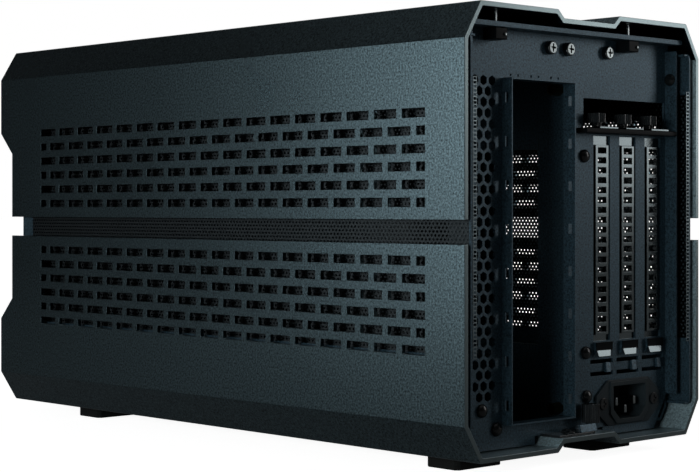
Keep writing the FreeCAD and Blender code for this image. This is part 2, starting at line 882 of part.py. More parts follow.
def make_slot_cover(number):
    """A vented cover behind its slot, with a tab that bends out over the shelf."""
    x = size.card_first_x - size.card_pitch * number
    label = "slot_cover_%d" % (number + 1)
    body = new_body(label)
    low_z = size.card_opening_low - size.cover_overlap
    tab_top = shelf_top() + size.cover_sheet
    strip = sketch_facing_rear(body, label + "_strip", rear_inner)
    rectangle(strip, (x - size.cover_width / 2, low_z), (x + size.cover_width / 2, shelf_top()))
    pad(body, strip, size.cover_sheet)
    tab = sketch_facing_rear(body, label + "_tab", rear_inner - size.cover_sheet)
    tab_x = x + size.cover_tab_shift
    rectangle(
        tab,
        (tab_x - size.cover_tab_width / 2, shelf_top()),
        (tab_x + size.cover_tab_width / 2, tab_top),
    )
    reach = size.cover_sheet + size.chassis_sheet + size.shelf_depth - size.cover_tab_setback
    pad(body, tab, reach, backwards=True)
    ridge = sketch_facing_rear(body, label + "_ridge", rear_inner)
    ridge_low = size.card_opening_low + size.cover_ridge_low_margin
    ridge_high = size.card_opening_low + size.card_opening_height - size.cover_ridge_high_margin
    rectangle(
        ridge,
        (x - size.cover_ridge_width / 2, ridge_low),
        (x + size.cover_ridge_width / 2, ridge_high),
    )
    pad(body, ridge, size.cover_ridge_rise, backwards=True)
    vent = sketch_facing_rear(body, label + "_vent", rear_inner)
    vent_z = (ridge_low + ridge_high) / 2 + size.vent_pitch * ((SIZES["vent_count"] - 1) / 2)
    centred_rectangle(vent, x, vent_z, size.vent_width, size.vent_height)
    repeat(body, cut(body, vent), "Z_Axis", size.vent_count, size.vent_pitch, backwards=True)


def make_slot_thumbscrews():
    """Thumbscrews that clamp the covers' tabs to the shelf."""
    y = rear_face + size.shelf_depth / 2 - size.cover_tab_setback / 2
    neck_z = shelf_top() + size.cover_sheet
    items = []
    for number in range(SIZES["card_count"]):
        x = size.card_first_x - size.card_pitch * number + size.slot_screw_shift
        name = "slot_screw_%d" % number
        neck = prism(name + "_neck", size.knob_flutes, size.knob_neck_radius, size.knob_neck_height,
                     x, y, neck_z)
        knob = prism(name + "_knob", size.knob_flutes, size.knob_radius, size.knob_height,
                     x, y, neck_z + size.knob_neck_height)
        items.append(fuse(name, [neck, knob]))
    group("slot_thumbscrews", items)


def make_power_inlet():
    """Three-pin power inlet: flange with lugs, bevelled boss and a closed socket."""
    x = size.inlet_x
    z = size.inlet_z
    half_wide = size.inlet_width / 2
    half_high = size.inlet_height / 2
    flat = size.inlet_flat_width / 2
    end = size.inlet_end_height / 2
    body = new_body("power_inlet")
    flange = sketch_facing_rear(body, "inlet_flange_plate", rear_face)
    outline(flange, [
        (x + half_wide, z - end),
        (x + half_wide, z + end),
        (x + flat, z + half_high),
        (x - flat, z + half_high),
        (x - half_wide, z + end),
        (x - half_wide, z - end),
        (x - flat, z - half_high),
        (x + flat, z - half_high),
    ])
    pad(body, flange, size.inlet_flange, backwards=True)
    boss = sketch_facing_rear(body, "inlet_boss", rear_face - size.inlet_body_depth)
    inlet_outline(boss, as_size(0))
    pad(body, boss, size.inlet_body_depth + size.inlet_flange + size.inlet_boss_rise, backwards=True)
    socket = sketch_facing_rear(body, "inlet_socket", rear_face + size.inlet_flange + size.inlet_boss_rise)
    inlet_outline(socket, size.inlet_wall)
    depth = size.inlet_body_depth + size.inlet_flange + size.inlet_boss_rise - size.inlet_wall
    cut(body, socket, depth, backwards=True)


def inlet_outline(sketch, inset):
    """A rectangle with its two lower corners bevelled, as the plug's outline is."""
    half_wide = size.inlet_boss_width / 2 - inset
    half_high = size.inlet_boss_height / 2 - inset
    bevel = size.inlet_boss_bevel
    x = size.inlet_x
    z = size.inlet_z
    outline(sketch, [
        (x - half_wide, z + half_high),
        (x - half_wide, z - half_high + bevel),
        (x - half_wide + bevel, z - half_high),
        (x + half_wide - bevel, z - half_high),
        (x + half_wide, z - half_high + bevel),
        (x + half_wide, z + half_high),
    ])


def make_inlet_pins():
    """Three blades that stand on the socket's floor; the middle one is the earth."""
    floor_y = rear_face - size.inlet_body_depth + size.inlet_wall
    items = []
    for step, drop in ((-1, as_size(0)), (0, size.pin_earth_drop), (1, as_size(0))):
        x = size.inlet_x + size.pin_spacing / 2 * step - size.pin_width / 2
        z = size.inlet_z - drop - size.pin_height / 2
        items.append(box("pin_%d" % (step + 1), (x, floor_y, z),
                         (size.pin_width, size.pin_length, size.pin_height)))
    group("inlet_pins", items)


def make_lower_fixings():
    """Clip plate and thumbscrew on the lower shell's channel."""
    depth = half_length - size.clip_plate_inset - rear_face
    clip = box("clip_plate", (
        size.clip_plate_x - size.clip_plate_width / 2, rear_face, channel_top,
    ), (size.clip_plate_width, depth, size.clip_plate_sheet))
    sub_part(clip, "rear_clip_plate")
    knob_y = half_length - size.base_knob_inset
    neck = prism("base_screw_neck", size.knob_flutes, size.knob_neck_radius, size.base_knob_neck_height,
                 size.base_knob_x, knob_y, channel_top)
    knob = prism("base_screw_knob", size.knob_flutes, size.knob_radius, size.base_knob_height,
                 size.base_knob_x, knob_y, channel_top + size.base_knob_neck_height)
    sub_part(fuse("base_screw", [neck, knob]), "base_thumbscrew")


def foot_places():
    """Middles of the four feet: front pair first, right side first."""
    front_y = -half_length + size.foot_front_inset + size.foot_length / 2
    rear_y = half_length - size.foot_rear_inset - size.foot_length / 2
    x = half_width - size.foot_side_inset - size.foot_width / 2
    return [(x, front_y), (-x, front_y), (x, rear_y), (-x, rear_y)]


def make_feet():
    """Four low blocks with bevelled upright corners."""
    names = ("front_right_foot", "front_left_foot", "rear_right_foot", "rear_left_foot")
    for label, (x, y) in zip(names, foot_places()):
        body = new_body(label)
        base = sketch_facing_up(body, label + "_base", as_size(0))
        centred_rectangle(base, x, y, size.foot_width, size.foot_length)
        block = pad(body, base, size.foot_height)
        bevel_edges(body, block, size.foot_corner_bevel, lambda start, end: (
            abs(start.z - end.z) > size.foot_height.value / 2))


def make_catches():
    """Snap catches under the roof, each with a bore that holds a stud of the upper shell."""
    catches = []
    studs = []
    for x, y in stud_places():
        name = "catch_%d" % len(catches)
        low_z = roof_under - size.catch_height
        block = box(name + "_block", (x - size.catch_width / 2, y - size.catch_depth / 2, low_z),
                    (size.catch_width, size.catch_depth, size.catch_height))
        bore = prism(name + "_bore", HEXAGON, size.stud_radius + size.stud_bore_clearance,
                     size.catch_height - size.catch_base, x, y, low_z + size.catch_base)
        catches.append(subtract(name, block, bore))
        name = "stud_%d" % len(studs)
        tip_z = roof_under - size.stud_tip_length
        post = prism(name + "_post", HEXAGON, size.stud_radius,
                     size.stud_tip_length + size.roof_sheet + size.roof_gap, x, y, tip_z)
        collar = prism(name + "_collar", HEXAGON, size.stud_collar_radius, size.stud_collar_height,
                       x, y, roof_top)
        studs.append(fuse(name, [post, collar]))
    group("snap_catches", catches)
    group("catch_studs", studs)


def make_power_button():
    """Round button that slides in a switch block behind the panel, and a connector port below."""
    bore = size.button_radius + size.button_clearance
    hidden = size.button_depth - size.button_rise - size.chassis_sheet
    inside = hidden + size.button_travel + size.button_clearance
    body = new_body("button_housing")
    block = sketch_facing_rear(body, "housing_block", front_inner)
    side = (bore + size.housing_wall) * 2
    centred_rectangle(block, as_size(0), button_z, side, side)
    pad(body, block, inside + size.housing_back, backwards=True)
    hole = sketch_facing_rear(body, "housing_bore", front_inner)
    circle(hole, 0, button_z, bore)
    cut(body, hole, inside)
    button = cylinder("button_cap", size.button_radius, size.button_depth,
                      0, front_face - size.button_rise, button_z, along_y=True)
    sub_part(button, "power_button")
    port = new_body("front_port")
    shell = sketch_facing_rear(port, "port_shell", front_face - size.port_rise)
    port_z = button_z - size.port_drop
    centred_rectangle(shell, as_size(0), port_z, size.port_width, size.port_height)
    pad(port, shell, size.port_depth, backwards=True)
    socket = sketch_facing_rear(port, "port_socket", front_face - size.port_rise)
    centred_rectangle(socket, as_size(0), port_z,
                      size.port_width - size.port_wall * 2, size.port_height - size.port_wall * 2)
    cut(port, socket, size.port_depth - size.port_wall)


def check_and_export():
    """Stops if anything failed to build, then writes one file for each piece."""
    doc.recompute()
    for item in doc.Objects:
        if "Invalid" in item.State or "Error" in item.State:
            raise ValueError("%s failed: %s" % (item.Label, item.State))
    for item in parts:
        if item.Shape.isNull() or not item.Shape.isValid():
            raise ValueError("bad shape: " + item.Label)
    os.makedirs("parts", exist_ok=True)
    for item in parts:
        item.Shape.exportStep("parts/%s.step" % item.Label)


make_shell("upper_shell", band_high, shell_top, True)
make_shell("lower_shell", band_low, size.foot_height, False)
make_roof()
make_roof_rails()
make_floor()
make_rear_panel()
make_front_panel()
make_side_panel("right_side_panel", 1)
make_side_panel("left_side_panel", -1)
make_board_tray()
make_standoffs()
make_supply_bracket()
make_shelf()
for cover in range(SIZES["card_count"]):
    make_slot_cover(cover)
make_slot_thumbscrews()
make_power_inlet()
make_inlet_pins()
make_lower_fixings()
make_feet()
make_catches()
make_power_button()
check_and_export()
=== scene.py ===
import json
from math import atan2, pi, radians

import bmesh
import bpy
from mathutils import Matrix, Vector

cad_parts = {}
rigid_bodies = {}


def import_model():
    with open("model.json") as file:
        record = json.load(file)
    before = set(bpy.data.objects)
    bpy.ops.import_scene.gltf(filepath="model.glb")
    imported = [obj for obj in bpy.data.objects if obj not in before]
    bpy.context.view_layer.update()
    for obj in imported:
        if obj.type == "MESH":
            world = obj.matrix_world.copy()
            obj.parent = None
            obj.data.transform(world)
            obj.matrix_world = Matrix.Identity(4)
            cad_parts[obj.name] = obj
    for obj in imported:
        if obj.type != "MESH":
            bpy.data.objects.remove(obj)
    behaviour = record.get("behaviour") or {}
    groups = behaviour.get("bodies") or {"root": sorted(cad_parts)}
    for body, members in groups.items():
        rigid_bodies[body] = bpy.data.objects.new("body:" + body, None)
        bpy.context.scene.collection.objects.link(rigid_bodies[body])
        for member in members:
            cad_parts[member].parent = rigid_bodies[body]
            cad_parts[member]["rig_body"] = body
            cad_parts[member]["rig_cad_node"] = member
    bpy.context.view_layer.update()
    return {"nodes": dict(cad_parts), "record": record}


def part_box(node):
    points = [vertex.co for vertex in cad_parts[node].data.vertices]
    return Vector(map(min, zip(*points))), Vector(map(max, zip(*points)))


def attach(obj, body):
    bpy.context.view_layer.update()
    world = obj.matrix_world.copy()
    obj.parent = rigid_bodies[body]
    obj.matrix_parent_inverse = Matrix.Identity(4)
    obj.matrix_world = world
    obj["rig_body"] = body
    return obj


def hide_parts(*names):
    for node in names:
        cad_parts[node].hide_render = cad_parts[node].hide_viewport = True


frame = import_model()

MM = 0.001
nodes = frame["nodes"]
slot_of_node = {part["node"]: part["material_slot"] for part in frame["record"]["subparts"]}
body_of_node = {
    node: body for body, members in frame["record"]["behaviour"]["bodies"].items() for node in members
}


# Ways of wiring shader nodes. A value is a plain one or another node's socket, and most values of a noise lie
# in its range here.

NOISE_RANGE = (0.3, 0.7)


def feed(tree, socket, value):
    """Sets a socket to a plain value or links another socket to it."""
    if isinstance(value, bpy.types.NodeSocket):
        tree.links.new(value, socket)
    else:
        socket.default_value = value


def add(tree, kind, **settings):
    """A shader node of that kind with its plain settings."""
    node = tree.nodes.new("ShaderNode" + kind)
    for name, value in settings.items():
        setattr(node, name, value)
    return node


def calculate(tree, operation, first, second):
    """The result of a Math node for two values."""
    node = add(tree, "Math", operation=operation)
    feed(tree, node.inputs[0], first)
    feed(tree, node.inputs[1], second)
    return node.outputs["Value"]


def dot_product(tree, first, second):
    node = add(tree, "VectorMath", operation="DOT_PRODUCT")
    feed(tree, node.inputs[0], first)
    feed(tree, node.inputs[1], second)
    return node.outputs["Value"]


def scaled(tree, vector, factor):
    """A vector or colour times a value."""
    node = add(tree, "VectorMath", operation="SCALE")
    feed(tree, node.inputs[0], vector)
    feed(tree, node.inputs["Scale"], factor)
    return node.outputs["Vector"]


def axis_of(tree, vector, axis):
    """One of the X, Y and Z parts of a vector."""
    node = add(tree, "SeparateXYZ")
    feed(tree, node.inputs["Vector"], vector)
    return node.outputs[axis]


def ramp(tree, value, start, end, low=0.0, high=1.0, kind="LINEAR"):
    """A value mapped from start and end to low and high, and held beyond them."""
    node = add(tree, "MapRange", interpolation_type=kind)
    feed(tree, node.inputs["Value"], value)
    feed(tree, node.inputs["From Min"], start)
    feed(tree, node.inputs["From Max"], end)
    feed(tree, node.inputs["To Min"], low)
    feed(tree, node.inputs["To Max"], high)
    return node.outputs["Result"]


def blend(tree, share, first, second):
    """A colour that goes from the first to the second as the share grows to 1."""
    node = add(tree, "Mix", data_type="RGBA")
    feed(tree, node.inputs["Factor"], share)
    feed(tree, node.inputs["A"], first)
    feed(tree, node.inputs["B"], second)
    return node.outputs["Result"]


def noise(tree, place, scale, detail=2.0, roughness=0.5):
    node = add(tree, "TexNoise")
    feed(tree, node.inputs["Vector"], place)
    feed(tree, node.inputs["Scale"], scale)
    feed(tree, node.inputs["Detail"], detail)
    feed(tree, node.inputs["Roughness"], roughness)
    return node.outputs["Fac"]


# Shader groups that the finishes share.

def new_group(name, inputs, outputs):
    """A shader node group with named number and colour sockets, and its input and output nodes."""
    group = bpy.data.node_groups.new(name, "ShaderNodeTree")
    for label, kind, value in inputs:
        socket = group.interface.new_socket(label, in_out="INPUT", socket_type="NodeSocket" + kind)
        socket.default_value = value
    for label, kind in outputs:
        group.interface.new_socket(label, in_out="OUTPUT", socket_type="NodeSocket" + kind)
    return group, group.nodes.new("NodeGroupInput"), group.nodes.new("NodeGroupOutput")


def make_powder_grain():
    """Powder coat: sand-like grain, pale flecks, slow patches of gloss and a pebbled height."""
    group, inside, outside = new_group("powder_grain", [
        ("Grain size", "Float", 1500.0),
        ("Coat", "Color", (0.03, 0.03, 0.03, 1)),
        ("Grain depth", "Float", 0.35),
        ("Fleck", "Color", (0.2, 0.2, 0.2, 1)),
        ("Fleck share", "Float", 0.12),
        ("Gloss low", "Float", 0.35),
        ("Gloss high", "Float", 0.5),
    ], [("Color", "Color"), ("Roughness", "Float"), ("Height", "Float")])
    given = inside.outputs
    place = add(group, "TexCoord").outputs["Object"]

    sand = noise(group, place, given["Grain size"], detail=3.0, roughness=0.65)
    darkest = calculate(group, "SUBTRACT", 1.0, given["Grain depth"])
    brightest = calculate(group, "ADD", 1.0, given["Grain depth"])
    shade = ramp(group, sand, *NOISE_RANGE, darkest, brightest)
    shaded = scaled(group, given["Coat"], shade)

    cells = add(group, "TexVoronoi")
    feed(group, cells.inputs["Vector"], place)
    feed(group, cells.inputs["Scale"], given["Grain size"])
    is_fleck = calculate(group, "LESS_THAN", cells.outputs["Distance"], given["Fleck share"])

    patches = noise(group, place, scale=18.0)
    gloss = ramp(group, patches, *NOISE_RANGE, given["Gloss low"], given["Gloss high"])

    feed(group, outside.inputs["Color"], blend(group, is_fleck, shaded, given["Fleck"]))
    feed(group, outside.inputs["Roughness"], gloss)
    feed(group, outside.inputs["Height"], sand)
    return group


def make_rubbed_edge():
    """Mask of the outer corners, where a coat rubs thin."""
    group, inside, outside = new_group("rubbed_edge", [("Reach", "Float", 0.08)], [("Mask", "Float")])
    barely_convex = 0.53
    sharpness = add(group, "NewGeometry").outputs["Pointiness"]
    place = add(group, "TexCoord").outputs["Object"]
    fully_rubbed = calculate(group, "ADD", barely_convex, inside.outputs["Reach"])
    rubbed = ramp(group, sharpness, barely_convex, fully_rubbed)
    scuffs = noise(group, place, scale=260.0)
    feed(group, outside.inputs["Mask"], calculate(group, "MULTIPLY", rubbed, scuffs))
    return group


def make_painted_rim_highlight():
    """Mask of the faces that look back at the very rear of the shells, where a painted highlight makes the
    rims lighter, as if lit from behind.
    """
    group, inside, outside = new_group("painted_rim_highlight", [("Rim starts", "Float", 0.1872)], [("Mask", "Float")])
    normal = add(group, "NewGeometry").outputs["Normal"]
    place = add(group, "TexCoord").outputs["Object"]
    looks_back = calculate(group, "GREATER_THAN", axis_of(group, normal, "Y"), 0.6)
    at_rear = calculate(group, "GREATER_THAN", axis_of(group, place, "Y"), inside.outputs["Rim starts"])
    feed(group, outside.inputs["Mask"], calculate(group, "MULTIPLY", looks_back, at_rear))
    return group


def make_lining_mask_with_painted_shade():
    """Mask of the faces that look towards the middle of the case, for a lighter matt inner coat. Faces that
    look down are left out and keep the dark coat as painted shade.
    """
    group, inside, outside = new_group("lining_mask_with_painted_shade", [("Middle height", "Float", 0.107)], [("Mask", "Float")])
    normal = add(group, "NewGeometry").outputs["True Normal"]
    place = add(group, "TexCoord").outputs["Object"]
    rise = calculate(group, "SUBTRACT", axis_of(group, place, "Z"), inside.outputs["Middle height"])
    outwards = add(group, "CombineXYZ")
    feed(group, outwards.inputs["X"], axis_of(group, place, "X"))
    feed(group, outwards.inputs["Z"], rise)
    agreement = dot_product(group, outwards.outputs["Vector"], normal)
    looks_in = calculate(group, "LESS_THAN", agreement, -0.02)
    # Inward faces that look down stay dark: painted shade.
    not_down = calculate(group, "GREATER_THAN", axis_of(group, normal, "Z"), -0.3)
    feed(group, outside.inputs["Mask"], calculate(group, "MULTIPLY", looks_in, not_down))
    return group


powder_grain = make_powder_grain()
rubbed_edge = make_rubbed_edge()
painted_rim_highlight = make_painted_rim_highlight()
lining_mask_with_painted_shade = make_lining_mask_with_painted_shade()


# Finishes.

RELIEF_HEIGHT = 0.3 * MM
LINING_SHADES = (0.4, 1.6)


def coated(name, coat, fleck, gloss, depth=0.35, bump=0.2, grain=1500.0, metallic=0.0, specular=0.5,
           rubbed=None, rim=None, lining=None):
    """A finish made of the grain group, lighter at rubbed corners, with a painted highlight on the rear rims
    and with a lighter matt lining on inward faces, where a colour is given for them. Inward faces that look
    down keep the coat and stay dark as painted shade."""
    material = bpy.data.materials.new(name)
    material.use_nodes = True
    tree = material.node_tree
    shader = tree.nodes["Principled BSDF"]
    shader.inputs["Metallic"].default_value = metallic
    shader.inputs["Specular IOR Level"].default_value = specular
    surface = add(tree, "Group", node_tree=powder_grain)
    surface.inputs["Grain size"].default_value = grain
    surface.inputs["Grain depth"].default_value = depth
    surface.inputs["Coat"].default_value = (*coat, 1)
    surface.inputs["Fleck"].default_value = (*fleck, 1)
    surface.inputs["Gloss low"].default_value = gloss[0]
    surface.inputs["Gloss high"].default_value = gloss[1]
    height = surface.outputs["Height"]
    relief = add(tree, "Bump")
    relief.inputs["Strength"].default_value = bump
    relief.inputs["Distance"].default_value = RELIEF_HEIGHT
    feed(tree, relief.inputs["Height"], height)
    tint = surface.outputs["Color"]
    # Rubbed corners are wear; the rim colour is a painted highlight on the rear rims.
    for group, lighter in ((rubbed_edge, rubbed), (painted_rim_highlight, rim)):
        if lighter is not None:
            mask = add(tree, "Group", node_tree=group).outputs["Mask"]
            tint = blend(tree, mask, tint, (*lighter, 1))
    if lining is not None:
        # Lighter inner coat on inward faces; those that look down keep the dark coat as painted shade.
        inward = add(tree, "Group", node_tree=lining_mask_with_painted_shade).outputs["Mask"]
        grained = scaled(tree, lining, ramp(tree, height, *NOISE_RANGE, *LINING_SHADES))
        tint = blend(tree, inward, tint, grained)
        feed(tree, shader.inputs["Metallic"], ramp(tree, inward, 0.0, 1.0, metallic, 0.0))
    feed(tree, shader.inputs["Base Color"], tint)
    feed(tree, shader.inputs["Roughness"], surface.outputs["Roughness"])
    feed(tree, shader.inputs["Normal"], relief.outputs["Normal"])
    return material


looks = {
    "shell_coat": dict(coat=(0.082, 0.125, 0.143), fleck=(0.17, 0.23, 0.25), gloss=(0.27, 0.295), depth=0.8,
                       # rim: painted highlight on the rear rims.
                       bump=0.06, grain=1000.0, metallic=1.0, rim=(0.13, 0.165, 0.172),
                       # lining: lighter inner coat; downward inner faces are left out and stay dark as
                       # painted shade.
                       lining=(0.13, 0.19, 0.21)),
    "panel_coat": dict(coat=(0.028, 0.055, 0.074), fleck=(0.1, 0.13, 0.145), gloss=(0.38, 0.42), depth=0.75,
                       bump=0.08, grain=1000.0, metallic=0.45, specular=0.3),
    "mesh_coat": dict(coat=(0.04, 0.05, 0.055), fleck=(0.07, 0.08, 0.085), gloss=(0.36, 0.42), bump=0.05,
                      metallic=1.0),
    # Lighter copy of the mesh coat for the lip ladder: painted sheen, so its bars show as bright specks.
    "mesh_painted_sheen": dict(coat=(0.12, 0.15, 0.16), fleck=(0.2, 0.23, 0.24), gloss=(0.3, 0.36), bump=0.05,
                     metallic=1.0),
    "cover_coat": dict(coat=(0.072, 0.086, 0.09), fleck=(0.09, 0.1, 0.105), gloss=(0.18, 0.2), depth=0.06,
                       bump=0.01, metallic=1.0),
    "black_metal": dict(coat=(0.004, 0.0055, 0.006), fleck=(0.008, 0.01, 0.011), gloss=(0.2, 0.26),
                        depth=0.15, bump=0.03, specular=0.3, rubbed=(0.035, 0.043, 0.048)),
    "bright_metal": dict(coat=(0.15, 0.168, 0.17), fleck=(0.18, 0.2, 0.2), gloss=(0.22, 0.3), depth=0.06,
                         bump=0.02, metallic=1.0),
    "brass": dict(coat=(0.14, 0.1, 0.045), fleck=(0.2, 0.15, 0.07), gloss=(0.3, 0.4), depth=0.1, bump=0.05,
                  metallic=1.0),
    "black_plastic": dict(coat=(0.017, 0.025, 0.029), fleck=(0.025, 0.033, 0.037), gloss=(0.34, 0.42),
                          depth=0.2, bump=0.08, specular=0.1),
    "rubber": dict(coat=(0.008, 0.009, 0.009), fleck=(0.014, 0.014, 0.014), gloss=(0.6, 0.72),
                   specular=0.15),
    # A barely reflecting copy of black_metal: painted shade on the slot shelf, the snap catches and the
    # tongue caps, which are also black.
    "black_with_painted_shade": dict(coat=(0.003, 0.0042, 0.005), fleck=(0.007, 0.009, 0.01), gloss=(0.3, 0.38),
                        depth=0.2, bump=0.08, specular=0.03),
}
finishes = {name: coated(name, **look) for name, look in looks.items()}


# Ways of working on a piece. A face looks along an axis where its normal's share on it is over the limit.

TOUCHING = 0.01 * MM
WELD = 0.005 * MM
LOOKS_ALONG = 0.9


def only(piece):
    """Makes this the one selected and active object."""
    bpy.ops.object.select_all(action="DESELECT")
    piece.select_set(True)
    bpy.context.view_layer.objects.active = piece


def close():
    """Leaves edit mode, if a piece is open for editing."""
    if bpy.context.mode != "OBJECT":
        bpy.ops.object.mode_set(mode="OBJECT")


def begin(kind, name, **settings):
    """A primitive at its size and place, with the place moved into its mesh, opened for editing."""
    close()
    bpy.ops.object.select_all(action="DESELECT")
    getattr(bpy.ops.mesh, "primitive_%s_add" % kind)(**settings)
    piece = bpy.context.object
    piece.name = name
    bpy.ops.object.transform_apply(location=True, rotation=True, scale=True)
    bpy.ops.object.mode_set(mode="EDIT")
    return piece


def begin_box(name, middle, size):
    """A box of that size round its middle, opened for editing."""
    piece = begin("cube", name, size=1.0, location=middle)
    bpy.ops.transform.resize(value=size, center_override=middle)
    return piece


def pick(kind, test):
    """Selects the points or edges whose ends, or the faces whose middle and normal, pass the test."""
    modes = {"VERT": (True, False, False), "EDGE": (False, True, False), "FACE": (False, False, True)}
    bpy.context.tool_settings.mesh_select_mode = modes[kind]
    bpy.ops.mesh.select_all(action="DESELECT")
    shape = bmesh.from_edit_mesh(bpy.context.object.data)
    if kind == "VERT":
        for vert in shape.verts:
            vert.select = test(vert.co)
    elif kind == "EDGE":
        for edge in shape.edges:
            edge.select = test(edge.verts[0].co, edge.verts[1].co)
    else:
        for face in shape.faces:
            face.select = test(face.calc_center_median(), face.normal)
    shape.select_flush_mode()
    bmesh.update_edit_mesh(bpy.context.object.data)


def weld(distance):
    """Joins the points of the active piece that lie together, and leaves it open with all selected."""
    bpy.ops.object.mode_set(mode="EDIT")
    bpy.ops.mesh.select_all(action="SELECT")
    bpy.ops.mesh.remove_doubles(threshold=distance)


def apply_modifier(piece, kind, **settings):
    """Adds a modifier with these settings and applies it."""
    close()
    only(piece)
    modifier = piece.modifiers.new(kind.lower(), kind)
    for name, value in settings.items():
        setattr(modifier, name, value)
    bpy.ops.object.modifier_apply(modifier=modifier.name)


def repeat(piece, count, step):
    """Repeats a piece in a row, as one mesh."""
    apply_modifier(piece, "ARRAY", count=count, use_relative_offset=False, use_constant_offset=True,
                   constant_offset_displace=step)


def finish(piece, slot, body="chassis", stands_for=(), coat=None):
    """Closes a piece: smooth shading, its finish, the body it rides on and the nodes it stands for."""
    close()
    only(piece)
    bpy.ops.object.shade_smooth_by_angle(angle=radians(35))
    apply_modifier(piece, "WEIGHTED_NORMAL", keep_sharp=True, weight=100)
    piece.data.materials.clear()
    piece.data.materials.append(finishes[coat or slot])
    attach(piece, body)
    if stands_for:
        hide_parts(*stands_for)


def own_copy(piece, name):
    """A copy with a mesh of its own."""
    twin = piece.copy()
    twin.data = piece.data.copy()
    twin.name = name
    bpy.context.scene.collection.objects.link(twin)
    return twin


def copy_of(piece, name, shift, stands_for=()):
    """A finished copy on the chassis, moved by shift."""
    twin = own_copy(piece, name)
    twin.data.transform(Matrix.Translation(shift))
    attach(twin, "chassis")
    if stands_for:
        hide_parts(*stands_for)


def soften(node, width, coat=None):
    """A copy of a CAD node with its edges broken, in place of the node."""
    piece = own_copy(nodes[node], node + "_softened")
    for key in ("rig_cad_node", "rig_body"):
        del piece[key]
    only(piece)
    weld(WELD)
    bpy.ops.mesh.dissolve_limited(angle_limit=radians(1))
    apply_modifier(piece, "BEVEL", width=width, segments=2, limit_method="ANGLE", angle_limit=radians(25))
    finish(piece, slot_of_node[node], body_of_node[node], stands_for=(node,), coat=coat)


for node, piece in nodes.items():
    piece.data.materials.clear()
    piece.data.materials.append(finishes[slot_of_node[node]])


# Perforated side panels.

NEAR_PANEL = "right_side_panel"
FAR_PANEL = "left_side_panel"
HOLE_PITCH = 2.4 * MM
HOLE_ROW = 1.8 * MM
HOLE_WEB = 1.0 * MM
HOLE_WELD = 0.02 * MM
MESH_LOW = 54.8 * MM
MESH_ROW_PAIRS = 35
MESH_HIGH = MESH_LOW + HOLE_ROW * (MESH_ROW_PAIRS * 2 - 1)
MESH_COLUMNS = 73
MESH_FRONT = -163.4 * MM
MESH_X = 81.3 * MM
MESH_SHEET = 0.8 * MM
BACKING_Y = (173.5 * MM, 186.4 * MM)
LINING_Y = (-36 * MM, 62 * MM)
FACING_SIDE = (radians(90), 0, radians(90))
FACING_REAR = (radians(90), 0, radians(180))


def perforated_half(name, front_y):
    """Half of a perforated sheet: two staggered holes, repeated along and up, then given thickness."""
    radius = HOLE_ROW * 2 / 3
    stretch = HOLE_PITCH / (radius * 3 ** 0.5)
    middle = (MESH_X, front_y, MESH_LOW)
    piece = begin("circle", name, vertices=6, radius=radius, fill_type="NGON", location=middle,
                  rotation=FACING_SIDE)
    bpy.ops.transform.resize(value=(1, stretch, 1), center_override=middle)
    bpy.ops.mesh.inset(thickness=HOLE_WEB / 2)
    bpy.ops.mesh.delete(type="FACE")
    bpy.ops.mesh.select_all(action="SELECT")
    bpy.ops.mesh.duplicate_move(TRANSFORM_OT_translate={"value": (0, HOLE_PITCH / 2, HOLE_ROW)})
    repeat(piece, MESH_COLUMNS, (0, HOLE_PITCH, 0))
    repeat(piece, MESH_ROW_PAIRS, (0, 0, HOLE_ROW * 2))
    weld(HOLE_WELD)
    apply_modifier(piece, "SOLIDIFY", thickness=MESH_SHEET, offset=0.0)
    return piece


def panel_frame(name):
    """Frame of the near side panel, bent inwards on three sides, with a window for the perforated field."""
    sheet = 1.0 * MM
    corner_rounding = 5 * MM
    front_overlap = 1.0 * MM
    side_overlap = 0.4 * MM
    rear_edge = 0.9 * MM
    low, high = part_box(NEAR_PANEL)
    front_y = MESH_FRONT + front_overlap
    rear_y = high.y - rear_edge
    low_z = MESH_LOW + side_overlap
    high_z = MESH_HIGH - side_overlap
    middle = Vector((high.x, (low.y + high.y) / 2, (low.z + high.z) / 2))
    piece = begin("plane", name, size=1.0, location=middle, rotation=FACING_SIDE)
    bpy.ops.transform.resize(value=(1, high.y - low.y, high.z - low.z), center_override=middle)
    for place, direction in (((0, front_y, 0), (0, 1, 0)), ((0, rear_y, 0), (0, 1, 0)),
                             ((0, 0, low_z), (0, 0, 1)), ((0, 0, high_z), (0, 0, 1))):
        bpy.ops.mesh.select_all(action="SELECT")
        bpy.ops.mesh.bisect(plane_co=place, plane_no=direction)
    pick("FACE", lambda centre, normal: front_y < centre.y < rear_y and low_z < centre.z < high_z)
    bpy.ops.mesh.delete(type="FACE")

    def at_side(point):
        return min(abs(point.z - low.z), abs(point.z - high.z)) < TOUCHING

    def on_bent_outline(a, b):
        along_end = abs(a.y - b.y) < TOUCHING and abs(a.y - low.y) < TOUCHING
        along_side = abs(a.z - b.z) < TOUCHING and at_side(a)
        return along_end or along_side

    pick("VERT", lambda point: abs(point.y - high.y) < TOUCHING and at_side(point))
    bpy.ops.mesh.bevel(offset=corner_rounding, segments=5, affect="VERTICES")
    pick("EDGE", on_bent_outline)
    bpy.ops.mesh.extrude_edges_move(TRANSFORM_OT_translate={"value": (low.x - high.x, 0, 0)})
    weld(WELD)
    bpy.ops.mesh.normals_make_consistent(inside=False)
    apply_modifier(piece, "SOLIDIFY", thickness=sheet, offset=-1.0)
    apply_modifier(piece, "BEVEL", width=0.25 * MM, segments=2, limit_method="ANGLE",
                   angle_limit=radians(40))
    return piece


